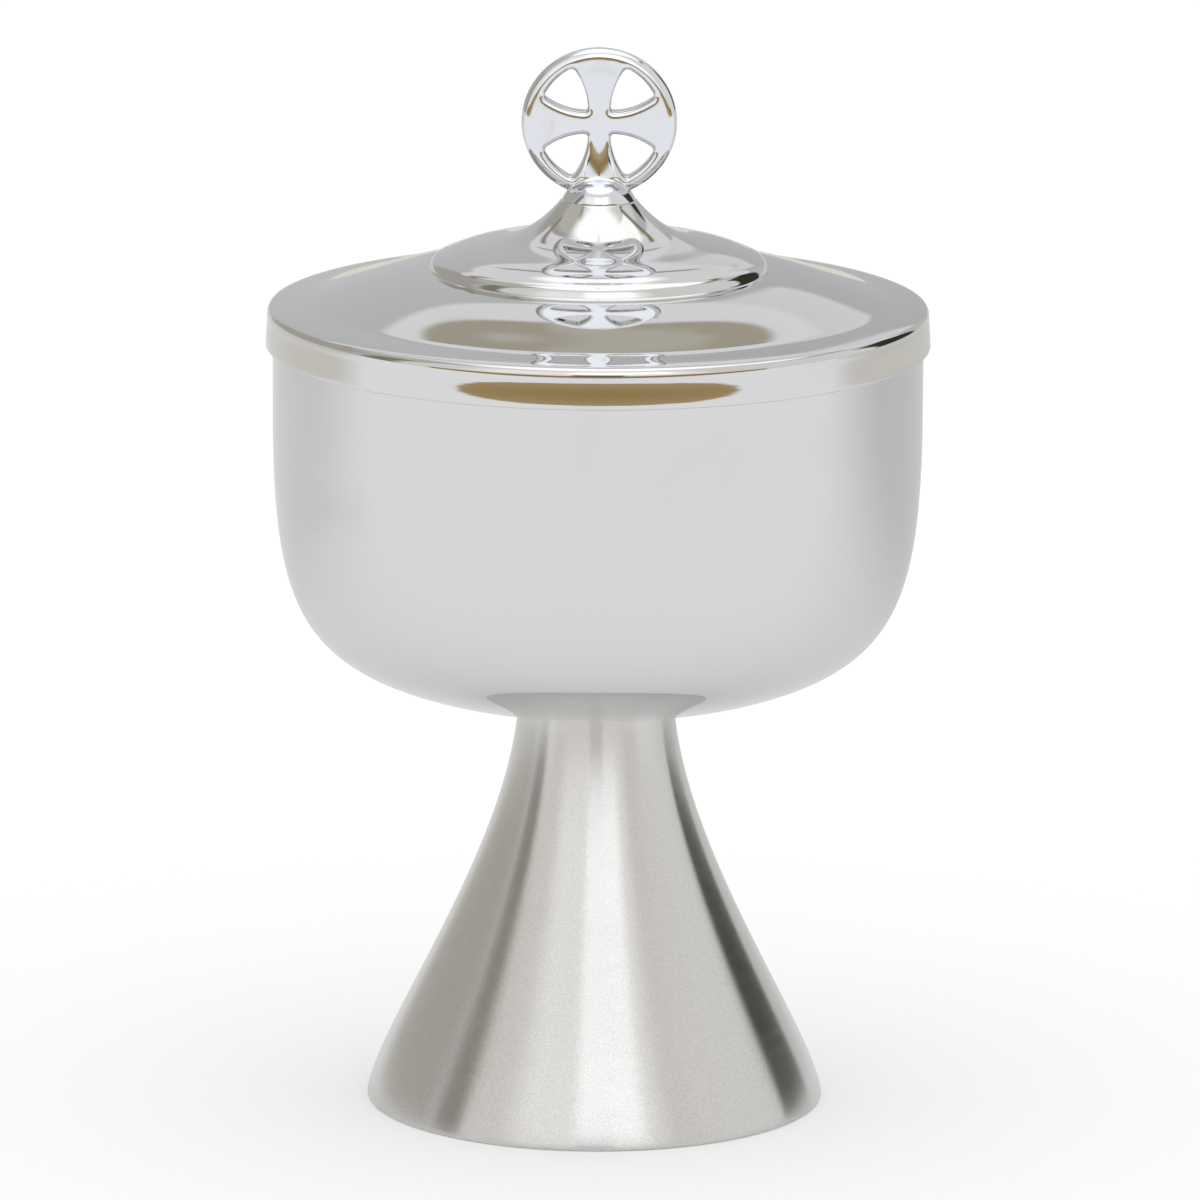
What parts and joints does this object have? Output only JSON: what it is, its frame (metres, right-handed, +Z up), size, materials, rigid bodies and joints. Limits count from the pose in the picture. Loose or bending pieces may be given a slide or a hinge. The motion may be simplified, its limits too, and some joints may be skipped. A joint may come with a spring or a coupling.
{
  "type": "ciborium",
  "caption": "Lidded ciborium: a mirror-polished round bowl on a brushed conical foot, with a domed lid that lifts off and a ring-cross finial.",
  "frame": {"origin": "centre of the flat ring that the foot rests on", "axes": "+Z up along the axis of the vessel; the ring cross faces -Y, and its level arms run along X"},
  "size_m": [0.1206, 0.1206, 0.1952],
  "materials": {
    "polished_vessel": "mirror-polished stainless steel",
    "polished_casting": "cast and hand-polished, with soft edges",
    "brushed_foot": "satin, brushed round the axis",
    "plain_steel": "plain machined steel"
  },
  "bodies": {
    "vessel": {"foot_shell": "brushed_foot", "foot_top_plate": "plain_steel", "bowl_disc": "plain_steel", "stem_stud": "plain_steel", "stem_washer": "plain_steel", "stem_lock_washer": "plain_steel", "stem_nut": "plain_steel", "bowl": "polished_vessel"},
    "lid": {"lid_shell": "polished_vessel", "finial_ring_cross": "polished_casting", "finial_stud": "plain_steel", "finial_washer": "plain_steel", "finial_nut": "plain_steel"}
  },
  "joints": [
    {"name": "lid_lift", "type": "slide", "parent": "vessel", "child": "lid", "axis": [0, 0, 1], "range_m": [0, 0.12]}
  ]
}
